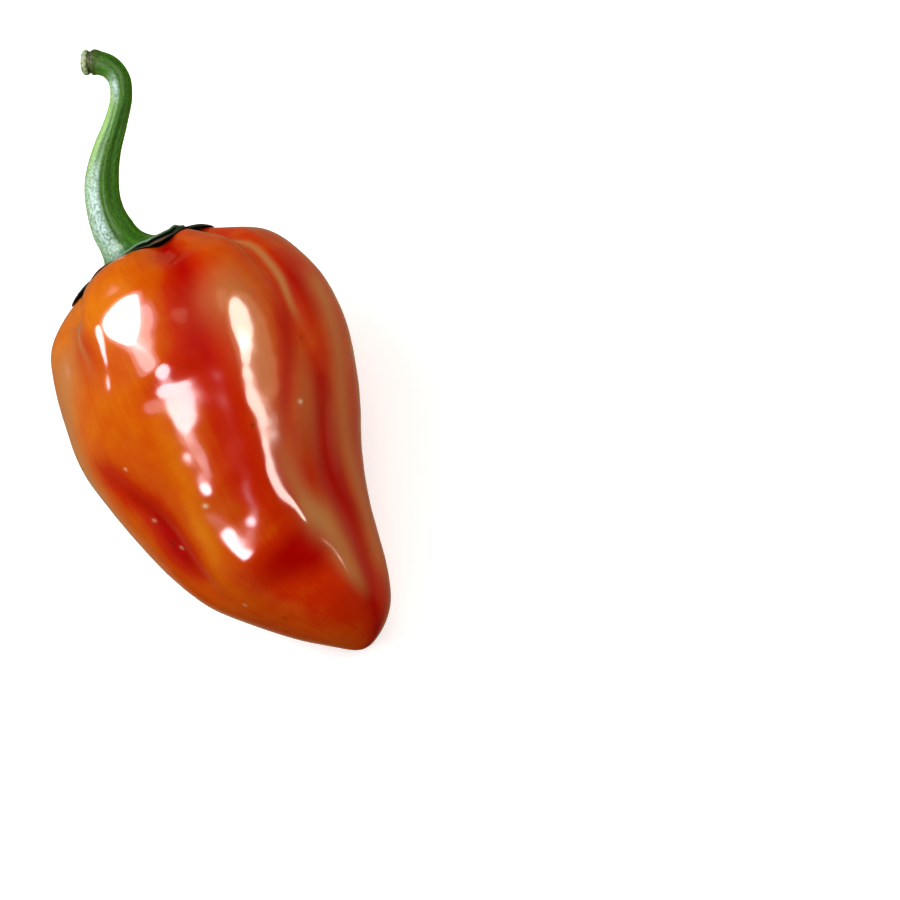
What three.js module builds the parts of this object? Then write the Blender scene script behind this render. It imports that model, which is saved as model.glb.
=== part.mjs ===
// A chilli pepper, ripe orange-red, lying on its side as picked: a broad-shouldered pod that tapers to a
// blunt tip, the calyx that caps its stem end, and the curved stem.
//
// Lengths are in millimetres and angles in degrees. The pod's own frame has x from the calyx to the tip,
// y towards its right flank and z out of its upper face. A point of the skin is given by its reach, the
// distance along the skin from the middle of the calyx, and by its turn about the pod: 0 is the upper
// face, 90 the right flank, 180 the underside and -90 the left flank.
import * as THREE from "three";

// ---- Driving dimensions ----
const REST_TILT = 13.65; // how far the pod's axis dips towards the tip when it lies on its side
const REST_FLAT = 0.4; // depth by which the underside is flattened where it bears on the surface
const TOUCH_GAP = 0.3; // space left between pieces that touch
const CALYX_THICK = 0.8;
const CALYX_TEETH = 6;
const TOOTH_REACH = 1.4; // how far a tooth stands past the calyx's rim
const CALYX_RIM = 14.5; // reach of that rim, from the middle of the calyx
const CALYX_FLANKS = 3.1; // how much further it reaches on both flanks
const CALYX_RIGHT = 1.4; // and how much further again to the right
const CALYX_UPPER = -1.3; // and less far on the upper face
const FOOT_RIM = 10.9; // reach of the rim of the stem's foot
const FOOT_RIGHT = 1.8; // how much further it reaches to the right
const FOOT_TEETH = 0.4; // how far it follows the calyx's teeth
const WING_TURN = 44; // where one lobe of the foot runs out like a wing
const WING_REACH = 2.8; // how far it runs out
const WING_POWER = 12; // how narrow it is: a higher power makes it narrower
const RIM_THICK = 0.45; // edge of the stem's flared foot
const NECK_REACH = 7; // how far from the middle the foot's hollow flank turns up into the stem
const FLANK_HOLLOW = 0.9; // how far that flank stays above the foot's underside there
const NECK_PULL = 4; // how far below its top the flank still runs along the stem
const STEM_RIBS = 5;
const RIB_HEIGHT = 0.22;
const RIB_FADE = 0.4; // share of the stem over which its ribs fade out towards its end

// Rows and columns of each piece's surface.
const POD_GRID = [48, 80];
const CALYX_GRID = [10, 50];
const STEM_COLUMNS = 30;
const FOOT_ROWS = 4; // rows of the stem's grid across the underside of its foot
const FLARE_ROWS = 9; // rows from the rim of the foot up to the round stem
const TUBE_ROWS = 28; // rows along the round stem, up to its collar

// The pod's outline from the calyx to the tip, as its extent along the pod: x, then how far it reaches to
// the left, right, underside and upper face.
const OUTLINE = [
  [0.6, 1.0, 1.0, 0.0, 0.0],
  [-0.4, -7.0, 9.0, -8.0, 8.0],
  [-0.5, -14.5, 15.8, -14.5, 15.0],
  [2.4, -21.6, 21.0, -20.0, 20.8],
  [7.5, -27.2, 29.0, -24.6, 26.0],
  [14.5, -30.3, 33.4, -27.2, 29.0],
  [24.0, -33.1, 35.6, -28.2, 30.6],
  [35.0, -34.8, 34.8, -27.0, 30.4],
  [46.0, -33.9, 31.2, -24.2, 28.8],
  [57.0, -32.1, 25.7, -21.0, 26.2],
  [68.0, -29.4, 20.0, -18.0, 23.0],
  [78.0, -24.9, 16.4, -15.6, 19.6],
  [87.0, -17.9, 13.7, -13.2, 15.4],
  [94.0, -11.7, 10.9, -10.2, 11.2],
  [99.3, -5.9, 6.6, -6.0, 6.4],
  [102.4, -0.5, -0.5, 0.2, 0.2],
];

// How far the skin falls away to the right across the crown, as a slope, at some reaches.
const CROWN_SLOPE = [[0, 0.07], [8, 0.07], [18, 0]];

// Furrows and folds of the skin. Each follows a line of [reach, turn], and has its height, negative for a
// furrow, and its half width at some reaches along that line.
const FOLDS = {
  left_crease: {
    line: [[12, -64], [24, -47], [34, -42], [50, -40], [68, -44]],
    height: [[9, 0], [20, -2.1], [34, -1.0], [50, -0.5], [66, 0]],
    width: [[10, 2.6], [24, 3.0], [36, 4.2], [66, 6]],
  },
  left_slope: {
    line: [[12, -74], [24, -59], [34, -56], [52, -54]],
    height: [[12, 0], [24, -2.3], [36, -2.1], [48, -0.8], [60, 0]],
    width: [[12, 3.6], [24, 5], [52, 5.4]],
  },
  middle_furrow: {
    line: [[10, 36], [16, 32], [24, 24], [33, 15], [47, 8], [60, 5], [70, 3], [82, -1], [100, -7]],
    height: [[8, 0], [17, -2.2], [28, -1.5], [40, -0.9], [60, -0.5], [72, -0.45], [86, -0.4], [102, 0]],
    width: [[10, 3.2], [22, 5.0], [36, 6.5], [50, 5.6], [62, 4.6], [80, 4.5], [102, 6]],
  },
  right_crease: {
    line: [[12, 76], [23, 66], [30, 56], [44, 49], [55, 46], [68, 48], [91, 47], [100, 53], [122, 46]],
    height: [[9, 0], [20, -2.4], [36, -2.0], [50, -1.1], [62, -0.9], [78, -1.5], [98, -1.6], [124, 0]],
    width: [[10, 2.6], [24, 2.6], [40, 3.0], [60, 4.5], [90, 4.0], [124, 3.0]],
  },
  flank_hollow: {
    line: [[50, -63], [69, -52], [84, -49], [93, -53], [106, -58]],
    height: [[50, 0], [66, -0.9], [80, -2.0], [92, -1.8], [108, 0]],
    width: [[50, 5], [80, 4.5], [108, 4]],
  },
  tip_dip: {
    line: [[94, -2], [116, 2]],
    height: [[94, 0], [105, -1.2], [116, 0]],
    width: [[94, 8], [116, 8]],
  },
  front_crest: {
    line: [[8, -14], [28, -12]],
    height: [[8, 0], [17, 1.7], [28, 0]],
    width: [[8, 8.5], [28, 10]],
  },
  middle_crest: {
    line: [[8, 49], [28, 42]],
    height: [[8, 0], [17, 0.9], [28, 0]],
    width: [[8, 5.5], [28, 6]],
  },
  front_ridge: {
    line: [[28, -24], [44, -15], [57, -7], [66, -7], [73, -12], [82, -15], [93, -15], [106, -24]],
    height: [[26, 0], [38, 0.5], [47, 0.5], [54, -0.4], [64, 0], [74, 0], [86, -0.5], [97, 0.4], [106, 0]],
    width: [[26, 5.5], [44, 5.5], [58, 5.5], [72, 5.5], [88, 6], [106, 6.5]],
  },
  middle_ridge: {
    line: [[26, 38], [40, 27], [50, 18], [62, 11], [75, 8], [98, 9]],
    height: [[22, 0], [36, 0.6], [50, 0.4], [62, 0.6], [86, 0.7], [100, 0]],
    width: [[26, 6.5], [50, 6.5], [62, 5], [100, 4.5]],
  },
  upper_pleat: {
    line: [[84, 19], [105, 24]],
    height: [[82, 0], [94, 0.5], [106, 0]],
    width: [[82, 2.5], [106, 2.5]],
  },
  lower_pleat: {
    line: [[94, 31], [122, 31]],
    height: [[94, 0], [109, 0.8], [123, 0]],
    width: [[94, 3], [123, 3]],
  },
  right_back_furrow: {
    line: [[12, 118], [40, 122], [84, 126]],
    height: [[8, 0], [20, -2.4], [40, -1.8], [62, -0.8], [84, 0]],
    width: [[10, 2.6], [40, 4], [84, 6]],
  },
  underside_furrow: {
    line: [[12, 170], [40, 177], [100, 180]],
    height: [[8, 0], [20, -2.2], [44, -1.6], [80, -0.6], [100, 0]],
    width: [[10, 2.6], [40, 4.5], [100, 6]],
  },
  left_back_furrow: {
    line: [[12, -128], [40, -122], [80, -120]],
    height: [[8, 0], [20, -2.4], [40, -1.6], [64, -0.9], [84, 0]],
    width: [[10, 2.6], [40, 4], [84, 6]],
  },
};

// The stem's centre line in the pod's frame, from its foot to its cut end.
const STEM_LINE = [
  [-3.2, 1.0, 0.3], [-6.0, 0.2, 0.6], [-9.2, 0.0, 0.9], [-13.6, 0.6, 1.3], [-18.4, 2.4, 1.6],
  [-22.2, 5.0, 2.0], [-26.1, 8.7, 2.4], [-30.0, 13.3, 2.8], [-34.4, 17.6, 3.2], [-38.3, 19.4, 3.4],
  [-41.7, 19.0, 3.4], [-44.2, 17.0, 3.1], [-45.9, 14.4, 2.7],
];
// Its radius at shares of the line's length; a collar and a scar ring end it.
const STEM_RADIUS = [
  [0, 6.4], [0.11, 5.0], [0.19, 4.35], [0.27, 4.0], [0.35, 3.85], [0.44, 3.4], [0.54, 2.9], [0.66, 2.5],
  [0.78, 2.55], [0.9, 2.7], [0.93, 2.75],
];
const FLARE_TOP = 0.13; // share of the line where the flare has become the round stem
const COLLAR = [
  [0.93, 2.75], [0.945, 2.95], [0.957, 2.9], [0.965, 2.5],
  [0.972, 2.5], [0.98, 2.85], [0.994, 2.85], [1, 2.6],
];

// ---- Curves ----

/** The natural cubic spline through the given values at increasing places. */
function spline(places, values) {
  const n = places.length;
  const gap = (i) => places[i + 1] - places[i];
  const slope = (i) => (values[i + 1] - values[i]) / gap(i);
  const factor = [0];
  const rest = [0];
  for (let i = 1; i < n - 1; i++) {
    const pivot = 2 * (gap(i - 1) + gap(i)) - gap(i - 1) * factor[i - 1];
    factor.push(gap(i) / pivot);
    rest.push((6 * (slope(i) - slope(i - 1)) - gap(i - 1) * rest[i - 1]) / pivot);
  }
  const bend = new Array(n).fill(0);
  for (let i = n - 2; i > 0; i--) bend[i] = rest[i] - factor[i] * bend[i + 1];
  return (at) => {
    let i = 0;
    while (i < n - 2 && at > places[i + 1]) i++;
    const h = gap(i);
    const a = (places[i + 1] - at) / h;
    const b = (at - places[i]) / h;
    const curve = (a ** 3 - a) * bend[i] + (b ** 3 - b) * bend[i + 1];
    return a * values[i] + b * values[i + 1] + (curve * h * h) / 6;
  };
}

/** A smooth curve through [place, value] knots that stays at the end values outside them. */
function through(knots) {
  const curve = spline(knots.map((k) => k[0]), knots.map((k) => k[1]));
  const [first, last] = [knots[0][0], knots.at(-1)[0]];
  return (at) => curve(THREE.MathUtils.clamp(at, first, last));
}

/** A value that eases from knot to knot, flat at each one. */
function easing(knots) {
  return (at) => {
    if (at <= knots[0][0]) return knots[0][1];
    for (let i = 1; i < knots.length; i++) {
      const [[from, low], [to, high]] = [knots[i - 1], knots[i]];
      if (at <= to) return low + (high - low) * THREE.MathUtils.smoothstep(at, from, to);
    }
    return knots.at(-1)[1];
  };
}

// ---- The pod's skin ----

// Reach of each outline station, from the middle of the calyx.
const girth = OUTLINE.map(([, left, right, under, upper]) => (right - left + upper - under) / 4);
const reachOf = [0];
for (let i = 1; i < OUTLINE.length; i++) {
  reachOf.push(reachOf[i - 1] + Math.hypot(OUTLINE[i][0] - OUTLINE[i - 1][0], girth[i] - girth[i - 1]));
}
const POD_REACH = reachOf.at(-1);

/** A curve over reach through one value per station. It runs on past both poles in mirror image, with its
 *  sign turned for a radius, so that the skin closes smoothly there. */
function overPoles(values, sign) {
  const past = 3;
  const before = reachOf.slice(1, past + 1).map((r) => -r).reverse();
  const beyond = reachOf.slice(-1 - past, -1).map((r) => 2 * POD_REACH - r).reverse();
  const mirrored = (list) => list.map((v) => sign * v).reverse();
  return spline(
    [...before, ...reachOf, ...beyond],
    [...mirrored(values.slice(1, past + 1)), ...values, ...mirrored(values.slice(-1 - past, -1))],
  );
}

const along = overPoles(OUTLINE.map((s) => s[0]), 1);
const middleY = overPoles(OUTLINE.map((s) => (s[1] + s[2]) / 2), 1);
const middleZ = overPoles(OUTLINE.map((s) => (s[3] + s[4]) / 2), 1);
const radiusY = overPoles(OUTLINE.map((s) => (s[2] - s[1]) / 2), -1);
const radiusZ = overPoles(OUTLINE.map((s) => (s[4] - s[3]) / 2), -1);

const crownSlope = easing(CROWN_SLOPE);

/** The skin without its folds. */
function plainSkin(reach, turn) {
  const t = THREE.MathUtils.degToRad(turn);
  const aside = radiusY(reach) * Math.sin(t);
  return new THREE.Vector3(
    along(reach) + crownSlope(reach) * aside,
    middleY(reach) + aside,
    middleZ(reach) + radiusZ(reach) * Math.cos(t),
  );
}

/** The direction straight out of the plain skin. */
function outward(reach, turn) {
  const step = 0.01;
  const at = THREE.MathUtils.clamp(reach, 0.2, POD_REACH - 0.2);
  const down = plainSkin(at + step, turn).sub(plainSkin(at - step, turn));
  const round = plainSkin(at, turn + step).sub(plainSkin(at, turn - step));
  return down.cross(round).normalize();
}

const folds = Object.values(FOLDS).map(({ line, height, width }) => ({
  turnAt: through(line),
  heightAt: easing(height),
  widthAt: easing(width),
}));

/** How far the folds lift the skin, or sink it, at one place. */
function relief(reach, turn) {
  const radius = (radiusY(reach) + radiusZ(reach)) / 2;
  let lift = 0;
  for (const { turnAt, heightAt, widthAt } of folds) {
    const off = THREE.MathUtils.euclideanModulo(turn - turnAt(reach) + 180, 360) - 180;
    const across = (THREE.MathUtils.degToRad(off) * radius) / widthAt(reach);
    lift += heightAt(reach) * Math.exp(-across * across);
  }
  return lift;
}

/** The plain skin raised by a distance. */
const raisedSkin = (reach, turn, raised) =>
  plainSkin(reach, turn).addScaledVector(outward(reach, turn), raised);

/** What lies on the skin rests on its lifted folds, a distance above them, and bridges its furrows. */
const bridging = (reach, turn, raised) =>
  raisedSkin(reach, turn, Math.max(relief(reach, turn), 0) + raised);

// ---- Pieces ----

/** A closed surface of rows and columns: a sphere whose every point is moved to place(row, turn), where
 *  row runs from 0 at one pole to rows at the other. */
function closedSurface([rows, columns], place) {
  const geometry = new THREE.SphereGeometry(1, columns, rows);
  const { position, uv } = geometry.attributes;
  for (let i = 0; i < position.count; i++) {
    const row = Math.round((1 - uv.getY(i)) * rows);
    const pole = row === 0 || row === rows;
    const point = place(row, pole ? 0 : (Math.round(uv.getX(i) * columns) / columns) * 360 - 90);
    position.setXYZ(i, point.x, point.y, point.z);
  }
  geometry.computeVertexNormals();
  return geometry;
}

/** The pod, with its underside flattened where it bears on the surface it lies on. */
function podGeometry() {
  const [rows] = POD_GRID;
  const geometry = closedSurface(POD_GRID, (row, turn) => {
    const reach = (row / rows) * POD_REACH;
    return raisedSkin(reach, turn, relief(reach, turn));
  });
  const tilt = THREE.MathUtils.degToRad(REST_TILT);
  const up = new THREE.Vector3(-Math.sin(tilt), 0, Math.cos(tilt));
  const { position } = geometry.attributes;
  const point = new THREE.Vector3();
  let lowest = Infinity;
  for (let i = 0; i < position.count; i++) {
    lowest = Math.min(lowest, point.fromBufferAttribute(position, i).dot(up));
  }
  for (let i = 0; i < position.count; i++) {
    const sunk = lowest + REST_FLAT - point.fromBufferAttribute(position, i).dot(up);
    if (sunk <= 0) continue;
    point.addScaledVector(up, sunk);
    position.setXYZ(i, point.x, point.y, point.z);
  }
  return geometry;
}

/** Reach of the calyx's rim. It spreads furthest to the right and least to the front, and stands out in
 *  small teeth. */
function calyxRim(turn) {
  const t = THREE.MathUtils.degToRad(turn);
  const tooth = Math.cos((CALYX_TEETH * (t - Math.PI / 2)) / 2) ** 2;
  const wider = CALYX_FLANKS * Math.sin(t) ** 2 + CALYX_RIGHT * Math.sin(t) + CALYX_UPPER * Math.cos(t);
  return CALYX_RIM + wider + TOOTH_REACH * tooth ** 4;
}

/** A thin cap that follows the pod's shoulders. */
function calyxGeometry() {
  const [rows] = CALYX_GRID;
  return closedSurface(CALYX_GRID, (row, turn) => {
    const share = 1 - Math.abs(row - rows / 2) / (rows / 2); // 0 in the middle, 1 at the rim
    const thick = row < rows / 2 ? CALYX_THICK * Math.sqrt(1 - share ** 4) : 0;
    return bridging(share * calyxRim(turn), turn, TOUCH_GAP + thick);
  });
}

/** Reach of the rim of the stem's foot, which spreads further to the right, most of all at its wing. */
function footRim(turn) {
  const t = THREE.MathUtils.degToRad(turn);
  const wing = Math.cos((t - THREE.MathUtils.degToRad(WING_TURN)) / 2) ** 2;
  const teeth = FOOT_TEETH * Math.cos(CALYX_TEETH * (t - Math.PI / 2));
  return FOOT_RIM + FOOT_RIGHT * Math.sin(t) + teeth + WING_REACH * wing ** WING_POWER;
}

const stemKnots = STEM_LINE.map((p) => new THREE.Vector3(...p));
const stemLine = new THREE.CatmullRomCurve3(stemKnots, false, "centripetal");
const stemRadius = through(STEM_RADIUS);

/** A point of the round stem: share is the place along its line. */
function stemSkin(share, turn, radius = stemRadius(share)) {
  const t = THREE.MathUtils.degToRad(turn);
  const heading = stemLine.getTangentAt(share).negate();
  const side = new THREE.Vector3(0, 0, 1).cross(heading).normalize();
  const upper = heading.clone().cross(side);
  const rib = RIB_HEIGHT * Math.cos(STEM_RIBS * t) * THREE.MathUtils.smoothstep(0.9 - share, 0, RIB_FADE);
  return stemLine
    .getPointAt(share)
    .addScaledVector(side, (radius + rib) * Math.sin(t))
    .addScaledVector(upper, (radius + rib) * Math.cos(t));
}

/** The stem's outline at one turn, from the middle of its foot: under the foot, up its rim, along its
 *  hollow flank, up the round stem, over the collar and across the cut face. */
function stemOutline(turn) {
  const seat = 2 * TOUCH_GAP + CALYX_THICK;
  const points = [];
  for (let i = 0; i <= FOOT_ROWS; i++) points.push(bridging((i / FOOT_ROWS) * footRim(turn), turn, seat));
  const rim = bridging(footRim(turn), turn, seat + RIM_THICK);
  const hollow = bridging(NECK_REACH, turn, seat + FLANK_HOLLOW);
  const neck = stemSkin(FLARE_TOP, turn);
  const below = neck.clone().addScaledVector(stemLine.getTangentAt(FLARE_TOP), -NECK_PULL);
  const flank = new THREE.CubicBezierCurve3(rim, hollow, below, neck);
  for (let i = 0; i < FLARE_ROWS; i++) points.push(flank.getPoint(i / FLARE_ROWS));
  for (let i = 0; i < TUBE_ROWS; i++) {
    points.push(stemSkin(THREE.MathUtils.mapLinear(i, 0, TUBE_ROWS, FLARE_TOP, COLLAR[0][0]), turn));
  }
  for (const [share, radius] of COLLAR) points.push(stemSkin(share, turn, radius));
  points.push(stemLine.getPointAt(1));
  return points;
}

/** The stem: a foot that spreads over the calyx, the curved round stem, its collar and its cut face. */
function stemGeometry() {
  const rows = stemOutline(0).length - 1;
  return closedSurface([rows, STEM_COLUMNS], (row, turn) => stemOutline(turn)[rows - row]);
}

// ---- Assembly ----

/** One named piece in its own colour. */
function piece(name, geometry, colour, roughness) {
  const material = new THREE.MeshStandardMaterial({ color: colour, roughness, metalness: 0 });
  const mesh = new THREE.Mesh(geometry, material);
  mesh.name = name;
  return mesh;
}

const pepper = new THREE.Group();
pepper.add(piece("pod", podGeometry(), 0xc83a08, 0.22));
pepper.add(piece("calyx", calyxGeometry(), 0x1d3a1c, 0.6));
pepper.add(piece("stem", stemGeometry(), 0x4d8a2a, 0.5));
pepper.rotation.y = THREE.MathUtils.degToRad(REST_TILT);

// The part's origin is on the surface it lies on, under the middle of its box.
const part = new THREE.Group();
part.add(pepper);
part.updateMatrixWorld(true);
const box = new THREE.Box3().setFromObject(part, true);
const middle = box.getCenter(new THREE.Vector3());
pepper.position.set(-middle.x, -middle.y, -box.min.z);

export default part;
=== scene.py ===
"""The looks of a ripe chilli pepper that lies on its side: its pod, calyx and stem as fine surfaces around
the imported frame, their materials, and a pale floor, soft light and a camera that looks down on it.

Lengths in the shape sections are in millimetres and angles in degrees. The pod's own frame has x from the
calyx to the tip, y towards its right flank and z out of its upper face. A point of the skin is given by its
reach, the distance along the skin from the middle of the calyx, and by its turn about the pod: 0 is the
upper face, 90 the right flank, 180 the underside and -90 the left flank.
"""

import math

import bpy
import numpy as np
from mathutils import Matrix, Vector, noise

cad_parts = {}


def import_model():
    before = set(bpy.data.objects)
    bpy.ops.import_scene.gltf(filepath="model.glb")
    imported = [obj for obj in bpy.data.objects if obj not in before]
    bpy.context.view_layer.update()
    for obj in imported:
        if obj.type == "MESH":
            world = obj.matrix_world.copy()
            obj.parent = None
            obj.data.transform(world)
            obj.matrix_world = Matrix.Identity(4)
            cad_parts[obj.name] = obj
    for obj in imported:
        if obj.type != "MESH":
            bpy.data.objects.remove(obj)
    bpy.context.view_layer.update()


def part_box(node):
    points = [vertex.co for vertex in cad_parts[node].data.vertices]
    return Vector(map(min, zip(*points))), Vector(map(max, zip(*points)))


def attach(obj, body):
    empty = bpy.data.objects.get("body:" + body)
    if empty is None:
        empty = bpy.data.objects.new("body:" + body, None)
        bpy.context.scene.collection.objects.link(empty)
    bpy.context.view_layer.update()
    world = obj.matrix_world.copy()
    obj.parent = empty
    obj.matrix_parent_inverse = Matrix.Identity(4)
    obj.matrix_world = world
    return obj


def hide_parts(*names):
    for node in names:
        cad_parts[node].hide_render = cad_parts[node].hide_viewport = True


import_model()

# ---- Driving dimensions, as in the CAD model ----
REST_TILT = 13.65  # how far the pod's axis dips towards the tip when it lies on its side
REST_FLAT = 0.4  # depth by which the underside is flattened where it bears on the surface
TOUCH_GAP = 0.3  # space left between pieces that touch
CALYX_THICK = 0.8
CALYX_TEETH = 6
TOOTH_REACH = 1.4  # how far a tooth stands past the calyx's rim
CALYX_RIM = 14.5  # reach of that rim
CALYX_FLANKS = 3.1  # how much further it reaches on both flanks
CALYX_RIGHT = 1.4  # and how much further again to the right
CALYX_UPPER = -1.3  # and less far on the upper face
FOOT_RIM = 10.9  # reach of the rim of the stem's foot
FOOT_RIGHT = 1.8  # how much further it reaches to the right
FOOT_TEETH = 0.4  # how far it follows the calyx's teeth
WING_TURN = 44  # where one lobe of the foot runs out like a wing
WING_REACH = 2.8  # how far it runs out
WING_POWER = 12  # how narrow it is: a higher power makes it narrower
RIM_THICK = 0.45  # edge of the stem's flared foot
NECK_REACH = 7  # how far from the middle the foot's hollow flank turns up into the stem
FLANK_HOLLOW = 0.9  # how far that flank stays above the foot's underside there
NECK_PULL = 4  # how far below its top the flank still runs along the stem
FLARE_TOP = 0.13  # share of the stem's line where the flare has become the round stem
STEM_RIBS = 5
RIB_HEIGHT = 0.22
RIB_END = 0.9  # share of the line where the ribs end
RIB_FADE = 0.4  # share of the line over which they fade out before that

# ---- Fineness of the surfaces ----
POD_ROWS = 270
POD_COLUMNS = 360
CALYX_ROWS = 60
CALYX_COLUMNS = 240
FOOT_ROWS = 12  # rows across the underside of the stem's foot
FLARE_ROWS = 60  # rows from the rim of the foot up to the round stem
STEM_ROWS = 190  # rows along the round stem, up to its collar
COLLAR_ROWS = 40
END_RINGS = [0.9, 0.75, 0.5, 0.25, 0]  # rings of the stem's cut end, as shares of its radius
STEM_COLUMNS = 120
STEM_SAMPLES = 400  # points along the stem's line
PLACING_RINGS = 60  # rings of the skin, from end to end, that place the pod
PLACING_STEP = 4.0  # turn between two points of such a ring

# ---- Unevenness, each kind a height and the size of its lumps ----
POD_WAVES = (0.22, 11)
POD_DENTS = (0.07, 4.5)
CALYX_ROUGHNESS = (0.1, 1.6)
STEM_END_ROUGHNESS = (0.12, 1.1)
RAGGED_PART = (0.9, 0.94)  # shares of the stem's line between which its end grows ragged
OTHER_WAVES = 40  # how far away in the same noise the dents are taken, so that they differ from the waves
FLAT_EASE = 0.2  # how softly the skin turns into the flat that it bears on

# ---- Shapes, as in the CAD model ----

# x, then how far the skin reaches to the left, right, underside and upper face.
OUTLINE = np.array([
    [0.6, 1.0, 1.0, 0.0, 0.0],
    [-0.4, -7.0, 9.0, -8.0, 8.0],
    [-0.5, -14.5, 15.8, -14.5, 15.0],
    [2.4, -21.6, 21.0, -20.0, 20.8],
    [7.5, -27.2, 29.0, -24.6, 26.0],
    [14.5, -30.3, 33.4, -27.2, 29.0],
    [24.0, -33.1, 35.6, -28.2, 30.6],
    [35.0, -34.8, 34.8, -27.0, 30.4],
    [46.0, -33.9, 31.2, -24.2, 28.8],
    [57.0, -32.1, 25.7, -21.0, 26.2],
    [68.0, -29.4, 20.0, -18.0, 23.0],
    [78.0, -24.9, 16.4, -15.6, 19.6],
    [87.0, -17.9, 13.7, -13.2, 15.4],
    [94.0, -11.7, 10.9, -10.2, 11.2],
    [99.3, -5.9, 6.6, -6.0, 6.4],
    [102.4, -0.5, -0.5, 0.2, 0.2],
])
CROWN_SLOPE = [[0, 0.07], [8, 0.07], [18, 0]]

# Each fold follows a line of [reach, turn], with its height and half width at some reaches.
FOLDS = {
    "left_crease": (
        [[12, -64], [24, -47], [34, -42], [50, -40], [68, -44]],
        [[9, 0], [20, -2.1], [34, -1.0], [50, -0.5], [66, 0]],
        [[10, 2.6], [24, 3.0], [36, 4.2], [66, 6]],
    ),
    "left_slope": (
        [[12, -74], [24, -59], [34, -56], [52, -54]],
        [[12, 0], [24, -2.3], [36, -2.1], [48, -0.8], [60, 0]],
        [[12, 3.6], [24, 5], [52, 5.4]],
    ),
    "middle_furrow": (
        [[10, 36], [16, 32], [24, 24], [33, 15], [47, 8], [60, 5], [70, 3], [82, -1], [100, -7]],
        [[8, 0], [17, -2.2], [28, -1.5], [40, -0.9], [60, -0.5], [72, -0.45], [86, -0.4], [102, 0]],
        [[10, 3.2], [22, 5.0], [36, 6.5], [50, 5.6], [62, 4.6], [80, 4.5], [102, 6]],
    ),
    "right_crease": (
        [[12, 76], [23, 66], [30, 56], [44, 49], [55, 46], [68, 48], [91, 47], [100, 53], [122, 46]],
        [[9, 0], [20, -2.4], [36, -2.0], [50, -1.1], [62, -0.9], [78, -1.5], [98, -1.6], [124, 0]],
        [[10, 2.6], [24, 2.6], [40, 3.0], [60, 4.5], [90, 4.0], [124, 3.0]],
    ),
    "flank_hollow": (
        [[50, -63], [69, -52], [84, -49], [93, -53], [106, -58]],
        [[50, 0], [66, -0.9], [80, -2.0], [92, -1.8], [108, 0]],
        [[50, 5], [80, 4.5], [108, 4]],
    ),
    "tip_dip": (
        [[94, -2], [116, 2]],
        [[94, 0], [105, -1.2], [116, 0]],
        [[94, 8], [116, 8]],
    ),
    "front_crest": (
        [[8, -14], [28, -12]],
        [[8, 0], [17, 1.7], [28, 0]],
        [[8, 8.5], [28, 10]],
    ),
    "middle_crest": (
        [[8, 49], [28, 42]],
        [[8, 0], [17, 0.9], [28, 0]],
        [[8, 5.5], [28, 6]],
    ),
    "front_ridge": (
        [[28, -24], [44, -15], [57, -7], [66, -7], [73, -12], [82, -15], [93, -15], [106, -24]],
        [[26, 0], [38, 0.5], [47, 0.5], [54, -0.4], [64, 0.0], [74, 0.0], [86, -0.5], [97, 0.4], [106, 0]],
        [[26, 5.5], [44, 5.5], [58, 5.5], [72, 5.5], [88, 6], [106, 6.5]],
    ),
    "middle_ridge": (
        [[26, 38], [40, 27], [50, 18], [62, 11], [75, 8], [98, 9]],
        [[22, 0], [36, 0.6], [50, 0.4], [62, 0.6], [86, 0.7], [100, 0]],
        [[26, 6.5], [50, 6.5], [62, 5], [100, 4.5]],
    ),
    "upper_pleat": (
        [[84, 19], [105, 24]],
        [[82, 0], [94, 0.5], [106, 0]],
        [[82, 2.5], [106, 2.5]],
    ),
    "lower_pleat": (
        [[94, 31], [122, 31]],
        [[94, 0], [109, 0.8], [123, 0]],
        [[94, 3], [123, 3]],
    ),
    "right_back_furrow": (
        [[12, 118], [40, 122], [84, 126]],
        [[8, 0], [20, -2.4], [40, -1.8], [62, -0.8], [84, 0]],
        [[10, 2.6], [40, 4], [84, 6]],
    ),
    "underside_furrow": (
        [[12, 170], [40, 177], [100, 180]],
        [[8, 0], [20, -2.2], [44, -1.6], [80, -0.6], [100, 0]],
        [[10, 2.6], [40, 4.5], [100, 6]],
    ),
    "left_back_furrow": (
        [[12, -128], [40, -122], [80, -120]],
        [[8, 0], [20, -2.4], [40, -1.6], [64, -0.9], [84, 0]],
        [[10, 2.6], [40, 4], [84, 6]],
    ),
}

# The stem's centre line in the pod's frame, from its foot to its cut end.
STEM_LINE = np.array([
    [-3.2, 1.0, 0.3], [-6.0, 0.2, 0.6], [-9.2, 0.0, 0.9], [-13.6, 0.6, 1.3], [-18.4, 2.4, 1.6],
    [-22.2, 5.0, 2.0], [-26.1, 8.7, 2.4], [-30.0, 13.3, 2.8], [-34.4, 17.6, 3.2], [-38.3, 19.4, 3.4],
    [-41.7, 19.0, 3.4], [-44.2, 17.0, 3.1], [-45.9, 14.4, 2.7],
])
# Its radius at shares of the line's length; a collar and a scar ring end it.
STEM_RADIUS = [
    [0, 6.4], [0.11, 5.0], [0.19, 4.35], [0.27, 4.0], [0.35, 3.85], [0.44, 3.4], [0.54, 2.9], [0.66, 2.5],
    [0.78, 2.55], [0.9, 2.7], [0.93, 2.75],
]
COLLAR = [
    [0.93, 2.75], [0.945, 2.95], [0.957, 2.9], [0.965, 2.5],
    [0.972, 2.5], [0.98, 2.85], [0.994, 2.85], [1, 2.6],
]
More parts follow.
